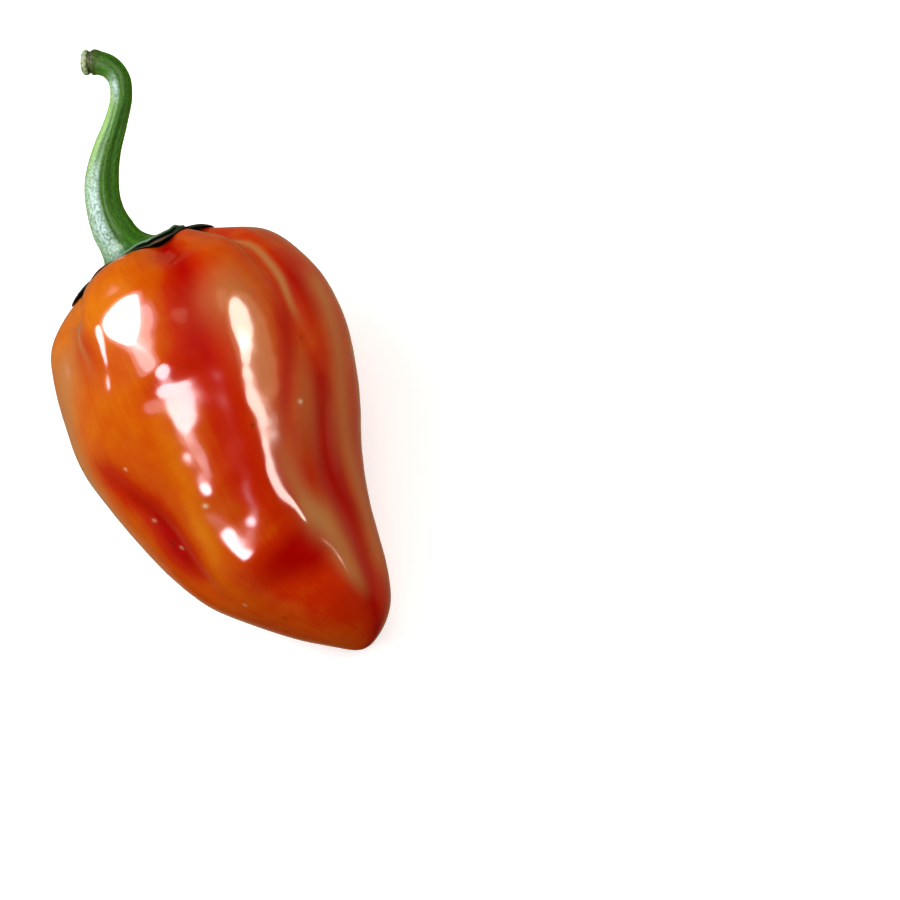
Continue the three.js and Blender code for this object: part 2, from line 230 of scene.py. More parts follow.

# ---- Markings, painted shade and light, and painted reflections ----

# Each tint, like a fold, follows a line of [reach, turn], with its strength and half width at some reaches.
# Red tints: those along the middle furrow, the right and left creases, the flank's hollow and the dip near
# the tip are painted shade. Those below 0, along the front ridge and on the shoulder, are painted light where
# the light falls. The others redden the skin in patches and streaks.
SHADE_LIGHT_AND_RED_TINTS = {
    "furrow": (
        [[12, 35], [17, 31], [24, 25], [33, 16], [47, 7], [60, 5], [70, 3], [90, 2]],
        [[12, 0], [20, 0.75], [34, 0.6], [47, 0.5], [60, 0.4], [75, 0.3], [92, 0]],
        [[16, 2.2], [24, 3], [33, 4.6], [47, 6], [60, 4.5], [90, 4]],
    ),
    "saddle": (
        [[46, -6], [58, -20]],
        [[44, 0], [51, 0.25], [57, 0]],
        [[46, 6], [58, 6]],
    ),
    "streak": (
        [[46, 46], [57, 38], [68, 28], [80, 17], [92, 20], [98, 18]],
        [[44, 0], [54, 0.45], [68, 0.4], [80, 0.3], [92, 0.5], [100, 0]],
        [[46, 3], [68, 2], [80, 1.6], [98, 1.6]],
    ),
    "right_crease_shade": (
        [[62, 50], [79, 49], [94, 50], [103, 55], [113, 45], [121, 36]],
        [[60, 0], [74, 0.7], [110, 0.75], [122, 0.3]],
        [[62, 3], [94, 3.4], [113, 2.4], [121, 1.6]],
    ),
    "right_lobe": (
        [[36, 62], [50, 58], [60, 56]],
        [[34, 0], [46, 0.45], [60, 0]],
        [[36, 4], [60, 4]],
    ),
    "hollow": (
        [[54, -60], [61, -57], [76, -48], [84, -50], [96, -54]],
        [[52, 0], [64, 0.5], [84, 0.72], [98, 0]],
        [[54, 5], [76, 4.5], [98, 3.5]],
    ),
    "low": (
        [[94, 5], [108, 12]],
        [[92, 0], [100, 0.55], [110, 0]],
        [[94, 9], [108, 9]],
    ),
    "lit_ridge": (
        [[54, -20], [62, -21], [70, -22], [87, -30], [97, -36], [110, -50]],
        [[52, 0], [64, -0.18], [87, -0.26], [112, 0]],
        [[54, 3], [87, 3], [110, 4]],
    ),
    "left_crease": (
        [[20, -50], [34, -42], [44, -40]],
        [[20, 0], [34, 0.3], [46, 0]],
        [[20, 3], [44, 4]],
    ),
    "lit_shoulder": (
        [[18, -20], [40, -20]],
        [[16, 0], [26, -0.2], [42, 0]],
        [[18, 8], [40, 8]],
    ),
}
# Painted reflections: tan bands where the skin would mirror bright surroundings, along the middle ridge, on
# the right and left edges and near the tip. They also paint thin cream lines of painted highlight along the
# crest and the left crease.
PAINTED_REFLECTIONS = {
    "middle": (
        [[30, 32], [40, 26], [48, 26], [54, 25], [66, 22], [78, 20], [90, 24], [102, 24]],
        [[30, 0], [42, 0.65], [60, 0.5], [72, 0.35], [90, 0.6], [104, 0]],
        [[30, 6], [42, 6.5], [54, 4.4], [66, 2.8], [90, 2.2], [102, 2.5]],
    ),
    "patch": (
        [[56, 44], [71, 37], [84, 32]],
        [[54, 0], [70, 0.45], [88, 0]],
        [[56, 3], [84, 4]],
    ),
    "right_edge": (
        [[44, 70], [62, 66], [85, 62], [91, 66], [100, 71], [112, 69]],
        [[42, 0], [50, 0.7], [62, 0.6], [88, 0.6], [108, 0.6], [122, 0]],
        [[44, 4], [62, 4], [100, 3], [112, 3]],
    ),
    "lower": (
        [[90, 28], [94, 31], [103, 34], [111, 32], [119, 33]],
        [[86, 0], [97, 0.9], [110, 0.8], [121, 0]],
        [[90, 3.4], [103, 2.8], [119, 1.4]],
    ),
    "crest_line": (
        [[20, 66], [28, 58], [31, 57], [39, 54], [44, 52], [49, 49], [56, 48]],
        [[16, 0], [26, 0.9], [46, 1.0], [58, 0]],
        [[20, 0.7], [28, 0.8], [49, 1.0], [56, 1.6]],
    ),
    "left_line": (
        [[13, -62], [20, -52], [28, -46], [36, -42], [46, -40]],
        [[12, 0], [18, 0.9], [30, 0.7], [46, 0]],
        [[13, 0.7], [28, 0.9], [46, 2]],
    ),
    "left_edge": (
        [[30, -62], [40, -66], [60, -78], [84, -80]],
        [[24, 0], [36, 0.95], [60, 0.75], [96, 0]],
        [[30, 5.5], [60, 5.5]],
    ),
}

# Where the skin is finely wrinkled across the furrow.
WRINKLES = {
    "saddle": (
        [[46, -9], [60, -11]],
        [[45, 0], [51, 1], [60, 0]],
        [[46, 6], [60, 5]],
    ),
}

# Small marks on the skin: reach, turn, radius, and how pale (1) or dark (-1) each one is.
SPOTS = [
    [46.2, -16, 0.35, -0.8], [69.3, 12, 0.4, -0.8], [70.3, 35, 0.45, 1.0], [79.4, -20, 0.5, 1.0],
    [76, -52, 0.4, 0.7], [83, -52, 0.45, -0.8], [85, -49, 0.4, 0.6], [88, -51, 0.4, -0.6],
    [62.5, -44, 0.35, 0.8], [112, -38, 0.4, -0.7], [104, -45, 0.35, 0.6], [58, 46, 0.4, -0.6],
]

LEAST_RIPE = 0.18  # ripeness of the skin, from 0 to 1, where it is least ripe
RIPE_TIP = 0.25  # how much riper it is at the tip
RIPENING = (30, 125)  # reaches between which it ripens towards the tip
RIPER_AND_SHADED_RIGHT = 0.35  # how much riper, and darker with painted shade away from the light, it is on the right than on the left
RIPE_AND_SHADED_SIDE = 100  # turn of its ripest and most shaded side
RIPE_PATCHES = (0.1, 16)  # strength and size of riper patches
RIPE_FLECKS = (0.05, 5)  # and of riper flecks
OTHER_PATCHES = 90  # how far away in the same noise the flecks are taken, so that they differ

PALE_EDGE = 0.35  # how pale the edge of the stem's foot is

# ---- Curves ----


def spline(places, values):
    """The natural cubic spline through the values at increasing places."""
    x, y = np.asarray(places, float), np.asarray(values, float)
    gap = np.diff(x)
    slope = np.diff(y) / gap
    matrix = np.eye(len(x))
    right = np.zeros(len(x))
    for i in range(1, len(x) - 1):
        matrix[i, i - 1 : i + 2] = gap[i - 1], 2 * (gap[i - 1] + gap[i]), gap[i]
        right[i] = 6 * (slope[i] - slope[i - 1])
    bend = np.linalg.solve(matrix, right)

    def curve(at):
        i = np.clip(np.searchsorted(x, at) - 1, 0, len(x) - 2)
        b = (at - x[i]) / gap[i]
        a = 1 - b
        cubic = (a**3 - a) * bend[i] + (b**3 - b) * bend[i + 1]
        return a * y[i] + b * y[i + 1] + cubic * gap[i] ** 2 / 6

    return curve


def through(knots):
    """A smooth curve through [place, value] knots that stays at the end values outside them."""
    knots = np.asarray(knots, float)
    curve = spline(knots[:, 0], knots[:, 1])
    return lambda at: curve(np.clip(at, knots[0, 0], knots[-1, 0]))


def smooth_step(at, start, end):
    """Eases from 0 at the start to 1 at the end."""
    share = np.clip((at - start) / (end - start), 0, 1)
    return share * share * (3 - 2 * share)


def easing(knots):
    """A value that eases from knot to knot, flat at each one."""
    knots = np.asarray(knots, float)

    def curve(at):
        value = np.full(np.shape(at), knots[0, 1])
        for (start, low), (end, high) in zip(knots[:-1], knots[1:]):
            value = value + (high - low) * smooth_step(at, start, end)
        return value

    return curve


# ---- The pod's skin ----

# The reach of each station of the outline, taken along a skin of its mean radius.
half_girth = (OUTLINE[:, 2] - OUTLINE[:, 1] + OUTLINE[:, 4] - OUTLINE[:, 3]) / 4
steps = np.hypot(np.diff(OUTLINE[:, 0]), np.diff(half_girth))
REACHES = np.concatenate([[0], np.cumsum(steps)])
POD_REACH = REACHES[-1]


def over_poles(values, sign):
    """A curve over reach through one value per station. It runs on past both poles in mirror image, with
    its sign turned for a radius, so that the skin closes smoothly there."""
    past = 3
    before = -REACHES[past:0:-1]
    beyond = 2 * POD_REACH - REACHES[-2 : -2 - past : -1]
    return spline(
        np.concatenate([before, REACHES, beyond]),
        np.concatenate([sign * values[past:0:-1], values, sign * values[-2 : -2 - past : -1]]),
    )


along = over_poles(OUTLINE[:, 0], 1)
middle_y = over_poles((OUTLINE[:, 1] + OUTLINE[:, 2]) / 2, 1)
middle_z = over_poles((OUTLINE[:, 3] + OUTLINE[:, 4]) / 2, 1)
radius_y = over_poles((OUTLINE[:, 2] - OUTLINE[:, 1]) / 2, -1)
radius_z = over_poles((OUTLINE[:, 4] - OUTLINE[:, 3]) / 2, -1)
crown_slope = easing(CROWN_SLOPE)


def plain_skin(reach, turn):
    """Points of the skin without its folds."""
    t = np.radians(turn)
    aside = radius_y(reach) * np.sin(t)
    x = along(reach) + crown_slope(reach) * aside
    return np.stack([x, middle_y(reach) + aside, middle_z(reach) + radius_z(reach) * np.cos(t)], -1)


def unit(vectors):
    """The vectors, each made 1 long."""
    return vectors / np.linalg.norm(vectors, axis=-1, keepdims=True)


def outward(reach, turn):
    """The directions straight out of the plain skin."""
    step = 0.01
    off_pole = 0.2
    at = np.clip(reach, off_pole, POD_REACH - off_pole)
    down = plain_skin(at + step, turn) - plain_skin(at - step, turn)
    round_pod = plain_skin(at, turn + step) - plain_skin(at, turn - step)
    return unit(np.cross(down, round_pod))


def banded(bands, reach, turn):
    """The sum of bands that each fall off softly to both sides of a line along the pod."""
    radius = (radius_y(reach) + radius_z(reach)) / 2
    total = 0
    for line, height, width in bands.values():
        off = (turn - through(line)(reach) + 180) % 360 - 180
        across = np.radians(off) * radius / easing(width)(reach)
        total = total + easing(height)(reach) * np.exp(-across * across)
    return total


def relief(reach, turn):
    """How far the folds lift the skin, or sink it."""
    return banded(FOLDS, reach, turn)


def raised_skin(reach, turn, raised):
    """Points raised straight out of the plain skin."""
    return plain_skin(reach, turn) + outward(reach, turn) * np.asarray(raised)[..., None]


def bridging(reach, turn, raised):
    """What lies on the skin rests on its lifted folds and bridges its furrows."""
    return raised_skin(reach, turn, np.maximum(relief(reach, turn), 0) + raised)


# ---- From the pod's own frame to the row's ----

tilt = math.radians(REST_TILT)
LYING = np.array([
    [math.cos(tilt), 0, -math.sin(tilt)],
    [0, 1, 0],
    [math.sin(tilt), 0, math.cos(tilt)],
])


def pod_place():
    """Where the pod's own origin is in the row's frame, in millimetres, from the CAD pod's box and from
    rings of points on the folded skin."""
    rings = np.linspace(0, POD_REACH, PLACING_RINGS)
    turns = np.arange(0, 360, PLACING_STEP)
    reach, turn = np.meshgrid(rings, turns, indexing="ij")
    lying = raised_skin(reach, turn, relief(reach, turn)) @ LYING
    low, high = lying.min((0, 1)), lying.max((0, 1))
    box_low, box_high = (np.array(corner) * 1000 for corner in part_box("pod"))
    place = (box_low + box_high - low - high) / 2
    place[2] = box_low[2] - low[2] - REST_FLAT
    return place


PLACE = pod_place()


def to_row(points):
    """Points of the pod's own frame, in millimetres, as points of the row's frame, in metres."""
    return (points @ LYING + PLACE) / 1000


# ---- Surfaces ----


def bumps(points, height, size):
    """Smooth noise at points in millimetres, up to the height and down as far, in lumps of about the size."""
    flat = points.reshape(-1, 3) / size
    return height * np.array([noise.noise(Vector(p)) for p in flat]).reshape(points.shape[:-1])


def closed_faces(rings, columns):
    """Faces between two poles and the rings of points between them, point 0 being the first pole."""
    pairs = [(a, (a + 1) % columns) for a in range(columns)]
    faces = [(0, 1 + a, 1 + b) for a, b in pairs]
    for ring in range(rings - 1):
        start = 1 + ring * columns
        below = start + columns
        faces += [(start + a, below + a, below + b, start + b) for a, b in pairs]
    last = 1 + (rings - 1) * columns
    return faces + [(last + a, last + columns, last + b) for a, b in pairs]


def of_points(grid):
    """Rows of values as one value for each point of a closed surface, whose first and last rows are poles."""
    return np.concatenate([grid[:1, 0], grid[1:-1].reshape(-1, *grid.shape[2:]), grid[-1:, 0]])


def closed_surface(name, points, values):
    """A closed piece from rows of points, the first and last row each a single pole, with its values, by
    name, as attributes of its points."""
    mesh = bpy.data.meshes.new(name)
    faces = closed_faces(points.shape[0] - 2, points.shape[1])
    mesh.from_pydata(of_points(to_row(points)).tolist(), [], faces)
    mesh.shade_smooth()
    for key, value in values.items():
        vector = value.ndim == 3
        made = mesh.attributes.new(key, "FLOAT_VECTOR" if vector else "FLOAT", "POINT")
        made.data.foreach_set("vector" if vector else "value", of_points(value).ravel())
    piece = bpy.data.objects.new(name, mesh)
    bpy.context.scene.collection.objects.link(piece)
    return piece


def surface_grid(rows, columns):
    """Row numbers from 0 to rows, and turns, as two grids."""
    turns = np.arange(columns) * 360 / columns - 180
    return np.meshgrid(np.arange(rows + 1.0), turns, indexing="ij")


def grain_along(turn, share):
    """A direction around a piece and the share of its length, for streaks that run along it."""
    t = np.radians(turn)
    return np.stack([np.cos(t), np.sin(t), share], -1)


def flattened(points):
    """Points of the skin, eased up onto the flat where they are below the surface that the pod lies on."""
    height = (points @ LYING + PLACE)[..., 2]
    eased = (height + np.sqrt(height**2 + FLAT_EASE**2)) / 2
    return points + (eased - height)[..., None] * LYING[:, 2]


def spots(base):
    """How pale, above 0, or dark, below 0, each point is for the small marks near it."""
    total = 0
    for reach, turn, radius, tone in SPOTS:
        away = np.linalg.norm(base - plain_skin(np.array(reach), np.array(turn)), axis=-1)
        total = total + tone * np.exp(-(away / radius) ** 2)
    return total


def redness(reach, turn, base):
    """How red the skin is, from 0, orange, to 1, deep red: riper towards the tip, riper and with painted
    shade on the right flank away from the light, with painted shade in furrows, creases and hollows and
    painted light on the lit ridge and shoulder.
    """
    to_tip = smooth_step(reach, *RIPENING)
    to_right = 0.5 + 0.5 * np.cos(np.radians(turn - RIPE_AND_SHADED_SIDE))
    patches = bumps(base, *RIPE_PATCHES) + bumps(base + OTHER_PATCHES, *RIPE_FLECKS)
    return LEAST_RIPE + RIPE_TIP * to_tip + RIPER_AND_SHADED_RIGHT * to_right + banded(SHADE_LIGHT_AND_RED_TINTS, reach, turn) + patches


def pod():
    """The pod's skin, with fine unevenness, flattened where it bears on the surface it lies on."""
    row, turn = surface_grid(POD_ROWS, POD_COLUMNS)
    share = row / POD_ROWS
    reach = share * POD_REACH
    base = plain_skin(reach, turn)
    uneven = bumps(base, *POD_WAVES) + bumps(base + OTHER_WAVES, *POD_DENTS)
    lift = relief(reach, turn) + uneven * np.sqrt(np.sin(np.pi * share))
    values = {
        # The redness holds ripeness with painted shade and painted light, and the pale values hold painted
        # reflections.
        "redness": redness(reach, turn, base),
        "pale": banded(PAINTED_REFLECTIONS, reach, turn),
        "wrinkled": banded(WRINKLES, reach, turn),
        "spot": spots(base),
        "grain": grain_along(turn, share),
    }
    return closed_surface("pod_skin", flattened(raised_skin(reach, turn, lift)), values)


def tooth_wave(turn):
    """1 in the middle of each of the calyx's teeth, and 0 halfway between two of them."""
    return np.cos(CALYX_TEETH * (np.radians(turn) - math.pi / 2) / 2) ** 2


def calyx_rim(turn):
    """Reach of the calyx's rim, with its small teeth."""
    t = np.radians(turn)
    spread = CALYX_RIM + CALYX_FLANKS * np.sin(t) ** 2 + CALYX_RIGHT * np.sin(t) + CALYX_UPPER * np.cos(t)
    return spread + TOOTH_REACH * tooth_wave(turn) ** 4


def calyx():
    """The thin cap that follows the pod's shoulders, with dry tips on its teeth."""
    row, turn = surface_grid(CALYX_ROWS, CALYX_COLUMNS)
    rim_row = CALYX_ROWS / 2
    upper = row < rim_row
    share = 1 - np.abs(row - rim_row) / rim_row
    reach = share * calyx_rim(turn)
    thick = np.where(upper, CALYX_THICK * np.sqrt(1 - share**4), 0)
    points = bridging(reach, turn, TOUCH_GAP + thick)
    rough = bumps(points, *CALYX_ROUGHNESS) * upper * (1 - share**8)
    points = points + outward(reach, turn) * rough[..., None]
    along_tooth = np.clip(1 + (reach - calyx_rim(turn)) / TOOTH_REACH, 0, 1)
    return closed_surface("calyx_cap", points, {"dry": along_tooth * tooth_wave(turn) ** 4})


def foot_rim(turn):
    """Reach of the rim of the stem's foot, which spreads further to the right, most of all at its wing."""
    t = np.radians(turn)
    wing = np.cos((t - math.radians(WING_TURN)) / 2) ** 2
    spread = FOOT_RIM + FOOT_RIGHT * np.sin(t) + FOOT_TEETH * np.cos(CALYX_TEETH * (t - math.pi / 2))
    return spread + WING_REACH * wing**WING_POWER


def catmull_rom(points, samples):
    """A centripetal Catmull-Rom curve through the points, as many samples at even distances along it."""
    ends = np.stack([2 * points[0] - points[1], 2 * points[-1] - points[-2]])
    p = np.concatenate([ends[:1], points, ends[1:]])
    found = []
    for i in range(len(p) - 3):
        knots = np.concatenate([[0], np.cumsum(np.linalg.norm(np.diff(p[i : i + 4], axis=0), axis=1) ** 0.5)])
        at = np.linspace(knots[1], knots[2], 60)[:, None]
        a = [
            ((knots[j + 1] - at) * p[i + j] + (at - knots[j]) * p[i + j + 1]) / (knots[j + 1] - knots[j])
            for j in range(3)
        ]
        b = [
            ((knots[j + 2] - at) * a[j] + (at - knots[j]) * a[j + 1]) / (knots[j + 2] - knots[j])
            for j in range(2)
        ]
        found.append(((knots[2] - at) * b[0] + (at - knots[1]) * b[1]) / (knots[2] - knots[1]))
    path = np.concatenate(found)
    run = np.concatenate([[0], np.cumsum(np.linalg.norm(np.diff(path, axis=0), axis=1))])
    even = np.linspace(0, run[-1], samples)
    return np.stack([np.interp(even, run, path[:, k]) for k in range(3)], -1)


stem_path = catmull_rom(STEM_LINE, STEM_SAMPLES)
stem_heading = unit(-np.gradient(stem_path, axis=0))
stem_radius = through(STEM_RADIUS)
collar_radius = through(COLLAR)


def on_path(values, share):
    """Values of the stem's path at shares of its length."""
    at = np.asarray(share) * (STEM_SAMPLES - 1)
    return np.stack([np.interp(at, np.arange(STEM_SAMPLES), values[:, k]) for k in range(3)], -1)


def stem_ring(share, turn, radius):
    """A ring of points on the round stem, where share is its place along the stem's line."""
    t = np.radians(turn)
    heading = unit(on_path(stem_heading, share))
    side = unit(np.cross([0.0, 0.0, 1.0], heading))
    upper = np.cross(heading, side)
    rib = RIB_HEIGHT * np.cos(STEM_RIBS * t) * smooth_step(RIB_END - share, 0, RIB_FADE)
    out = (radius + rib)[..., None]
    return on_path(stem_path, share) + out * (side * np.sin(t)[..., None] + upper * np.cos(t)[..., None])


def foot_rows(turn):
    """Rows of the stem's foot, from the middle of its underside round its rim and up its hollow flank. Each
    is its points, its place along the stem and how pale it is as an edge."""
    seat = 2 * TOUCH_GAP + CALYX_THICK
    for share in np.linspace(0, 1, FOOT_ROWS):
        yield bridging(share * foot_rim(turn), turn, seat), 0.0, PALE_EDGE * share**20
    rim = bridging(foot_rim(turn), turn, seat + RIM_THICK)
    hollow = bridging(NECK_REACH, turn, seat + FLANK_HOLLOW)
    neck = stem_ring(FLARE_TOP, turn, stem_radius(FLARE_TOP))
    below = neck + NECK_PULL * unit(on_path(stem_heading, FLARE_TOP))
    for b in np.linspace(0, 1, FLARE_ROWS)[:-1]:
        a = 1 - b
        flank = a**3 * rim + 3 * a * a * b * hollow + 3 * a * b * b * below + b**3 * neck
        yield flank, b * FLARE_TOP, PALE_EDGE * a**40


def round_rows(turn):
    """Rows of the round stem, its collar and its cut end, each in the same form."""
    collar_start = COLLAR[0][0]
    for share in np.linspace(FLARE_TOP, collar_start, STEM_ROWS)[:-1]:
        yield stem_ring(share, turn, stem_radius(share)), share, 0.0
    for share in np.linspace(collar_start, 1, COLLAR_ROWS):
        yield stem_ring(share, turn, collar_radius(share)), share, 0.0
    for inner in END_RINGS:
        yield stem_ring(1.0, turn, inner * collar_radius(1.0)), 1 + 0.1 * (1 - inner), 0.0


def stem():
    """The stem: a foot that spreads over the calyx, the curved round stem, its collar and its ragged end."""
    turn = np.arange(STEM_COLUMNS) * 360 / STEM_COLUMNS - 180
    rows = [*foot_rows(turn), *round_rows(turn)][::-1]
    points, places, edges = (np.array(part) for part in zip(*rows))
    share = np.repeat(places[:, None], STEM_COLUMNS, 1)
    edge = np.repeat(edges[:, None], STEM_COLUMNS, 1)
    ragged = bumps(points, *STEM_END_ROUGHNESS) * smooth_step(share, *RAGGED_PART) * (share <= 1)
    points = points - on_path(stem_heading, np.clip(share, 0, 1)) * ragged[..., None]
    grain = grain_along(np.broadcast_to(turn, share.shape), share)
    return closed_surface("stalk", points, {"place": share, "edge": edge, "grain": grain})


# ---- Nodes ----


def feed(tree, node, inputs):
    """Sets a node's inputs to values, or links them to other nodes' sockets."""
    for key, value in inputs.items():
        if isinstance(value, bpy.types.NodeSocket):
            tree.links.new(value, node.inputs[key])
        else:
            node.inputs[key].default_value = value


def add(tree, kind, inputs=None, **settings):
    """A node with its settings and its inputs."""
    made = tree.nodes.new(kind)
    for name, value in settings.items():
        setattr(made, name, value)
    feed(tree, made, inputs or {})
    return made


def attribute(tree, name, output="Fac"):
    """One of the values that a piece's points carry."""
    return add(tree, "ShaderNodeAttribute", attribute_name=name).outputs[output]


def maths(tree, operation, a, b, **settings):
    """A number made from two others."""
    return add(tree, "ShaderNodeMath", {0: a, 1: b}, operation=operation, **settings).outputs[0]


def noise_of(tree, vector, scale, detail):
    """Noise from 0 to 1 with so many lumps to a unit of the vector."""
    inputs = {"Vector": vector, "Scale": scale, "Detail": detail}
    return add(tree, "ShaderNodeTexNoise", inputs).outputs["Fac"]


def streaks_of(tree, grain, lumps, detail):
    """Noise from 0 to 1 in streaks, with so many lumps around a piece and so many along it."""
    around_piece, along_piece = lumps
    scale = (around_piece, around_piece, along_piece)
    stretched = add(tree, "ShaderNodeVectorMath", {0: grain, 1: scale}, operation="MULTIPLY").outputs[0]
    return noise_of(tree, stretched, 1.0, detail)


def around_zero(tree, value, strength):
    """Noise from 0 to 1 as a number around 0, times its strength."""
    return maths(tree, "MULTIPLY", maths(tree, "SUBTRACT", value, 0.5), strength)


def ramp(tree, factor, stops):
    """Colours between stops of (place, (r, g, b)) in linear light."""
    made = add(tree, "ShaderNodeValToRGB", {"Fac": factor})
    elements = made.color_ramp.elements
    while len(elements) < len(stops):
        elements.new(0.5)
    for element, (place, colour) in zip(elements, stops):
        element.position = place
        element.color = (*colour, 1)
    return made.outputs["Color"]


def level(tree, factor, stops):
    """A number between stops of (place, number)."""
    return ramp(tree, factor, [(place, (number, number, number)) for place, number in stops])


def mix(tree, factor, a, b):
    """A colour between a, where the factor is 0, and b, where it is 1."""
    made = add(tree, "ShaderNodeMix", data_type="RGBA")
    colours = [i for i, socket in enumerate(made.inputs) if socket.type == "RGBA"]
    feed(tree, made, {0: factor, colours[0]: a, colours[1]: b})
    return next(socket for socket in made.outputs if socket.type == "RGBA")


def bump(tree, height, strength, distance, under=None):
    """The normal of a bumpy surface, with the distance in metres, over the bumps of the normal under it."""
    inputs = {"Height": height, "Strength": strength, "Distance": distance}
    if under:
        inputs["Normal"] = under
    return add(tree, "ShaderNodeBump", inputs).outputs[0]


def material(name):
    """A material with a lone Principled shader: the material, its tree and the shader."""
    made = bpy.data.materials.new(name)
    made.use_nodes = True
    tree = made.node_tree
    return made, tree, tree.nodes["Principled BSDF"]


# ---- Materials, their colours in linear light ----

SKIN_COLOURS = [
    (0.0, (0.86, 0.24, 0.004)),
    (0.3, (0.72, 0.11, 0.001)),
    (0.6, (0.62, 0.025, 0.0)),
    (1.0, (0.5, 0.001, 0.0)),
]
# The tan of the painted reflections.
REFLECTION_TAN = (0.6, 0.23, 0.065, 1)
PALE_MARK = (0.9, 0.72, 0.45, 1)
DARK_MARK = (0.12, 0.02, 0.004, 1)

# The calyx's greens, painted nearly black as shade under the stem's foot.
CALYX_SHADED_GREENS = [(0.3, (0.002, 0.005, 0.001)), (0.7, (0.008, 0.02, 0.005))]
DRY_TIP = (0.16, 0.07, 0.025, 1)

STEM_COLOURS = [
    (0.25, (0.014, 0.075, 0.0)),
    (0.55, (0.04, 0.18, 0.001)),
    (0.85, (0.1, 0.34, 0.008)),
]
# Painted light: lime on the stem's left side, which faces the light.
PAINTED_LIGHT_LIME = (0.3, 0.62, 0.13, 1)
FOOT_GREEN = (0.018, 0.1, 0.035, 1)
# Painted sheen: the bluish white of the light's reflection, painted in speckles on the stem.
PAINTED_SHEEN = (0.68, 0.96, 0.95, 1)
EDGE_GREEN = (0.3, 0.5, 0.36, 1)
RING_COLOURS = [(0.35, (0.012, 0.01, 0.002)), (0.65, (0.12, 0.14, 0.04))]
SCAR_COLOURS = [(0.35, (0.16, 0.3, 0.1)), (0.62, (0.6, 0.72, 0.48))]

# How strong each of the stem's other colours is: around it, by how far to the left, and along it, by the
# share of its length from the foot.
# The lime is painted light on the side that faces the light.
PAINTED_LIGHT_AROUND = [(0.3, 0), (0.9, 0.9)]
PAINTED_LIGHT_ALONG = [(0.02, 0.35), (0.3, 0.6), (0.5, 1), (0.72, 1), (0.88, 0.15)]
FOOT_ALONG = [(0, 0.6), (0.1, 0)]
# Where the painted sheen lies: on the left side, low on the stem and at its bend, in speckles.
SHEEN_AROUND = [(0, 0), (0.3, 1), (0.6, 1), (0.95, 0.35)]
SHEEN_ALONG = [(0.03, 0.3), (0.12, 1), (0.3, 1), (0.46, 0.1), (0.68, 0), (0.78, 0.8), (0.86, 0)]
SHEEN_SPECKLES = [(0.38, 0.3), (0.58, 1)]
RING_ALONG = [(0.9, 0), (0.95, 0.6), (0.958, 1), (0.973, 1), (0.978, 0)]
SCAR_START = 0.976

FLOOR_WHITE = (0.9, 0.9, 0.9, 1)
WHITE = (1, 1, 1, 1)


def skin_colour(tree, place, grain):
    """Orange to deep red by ripeness, with painted shade and painted light, painted tan reflections and a few
    pale and dark marks.
    """
    mottle = around_zero(tree, noise_of(tree, place, 260, 4), 0.22)
    streaks = around_zero(tree, streaks_of(tree, grain, (22, 6), 3), 0.16)
    # The redness brings ripeness, painted shade and painted light.
    ripe = maths(tree, "ADD", maths(tree, "ADD", attribute(tree, "redness"), mottle), streaks)
    # The pale values paint reflections in tan.
    colour = mix(tree, attribute(tree, "pale"), ramp(tree, ripe, SKIN_COLOURS), REFLECTION_TAN)
    spot = attribute(tree, "spot")
    colour = mix(tree, maths(tree, "MULTIPLY", spot, 1.0, use_clamp=True), colour, PALE_MARK)
    return mix(tree, maths(tree, "MULTIPLY", spot, -1.0, use_clamp=True), colour, DARK_MARK)


def skin_normal(tree, place, grain):
    """Faint streaks along the pod, wrinkles across it, the peel's grain and small pits."""
    streaks = streaks_of(tree, grain, (130, 14), 2)
    wrinkles = maths(tree, "MULTIPLY", streaks_of(tree, grain, (7, 190), 1), attribute(tree, "wrinkled"))
    peel = noise_of(tree, place, 1500, 2)
    cells = add(tree, "ShaderNodeTexVoronoi", {"Vector": place, "Scale": 420.0}, feature="F1")
    pits = maths(tree, "SMOOTH_MIN", cells.outputs["Distance"], 0.16)
    normal = bump(tree, streaks, 0.3, 0.0001)
    normal = bump(tree, wrinkles, 0.6, 0.0003, normal)
    normal = bump(tree, peel, 0.1, 0.00006, normal)
    return bump(tree, pits, 0.25, 0.0001, normal)


def skin_material():
    """The pod's skin: its colour shows through a clear, glossy coat."""
    made, tree, shader = material("pepper_skin")
    place = add(tree, "ShaderNodeTexCoord").outputs["Object"]
    grain = attribute(tree, "grain", "Vector")
    feed(tree, shader, {
        "Base Color": skin_colour(tree, place, grain),
        "Normal": skin_normal(tree, place, grain),
        "Roughness": 0.3,
        "Specular IOR Level": 0.0,
        "Coat Weight": 1.0,
        "Coat Roughness": 0.1,
        "Coat IOR": 1.5,
    })
    return made


def calyx_material():
    """The calyx: dark green painted nearly black as shade under the stem's foot, dull and rough, with brown
    tips.
    """
    made, tree, shader = material("calyx_painted_shade")
    place = add(tree, "ShaderNodeTexCoord").outputs["Object"]
    mottle = noise_of(tree, place, 900, 4)
    feed(tree, shader, {
        "Base Color": mix(tree, attribute(tree, "dry"), ramp(tree, mottle, CALYX_SHADED_GREENS), DRY_TIP),
        "Normal": bump(tree, mottle, 0.5, 0.0003),
        "Roughness": 0.75,
        "Specular IOR Level": 0.1,
    })
    return made


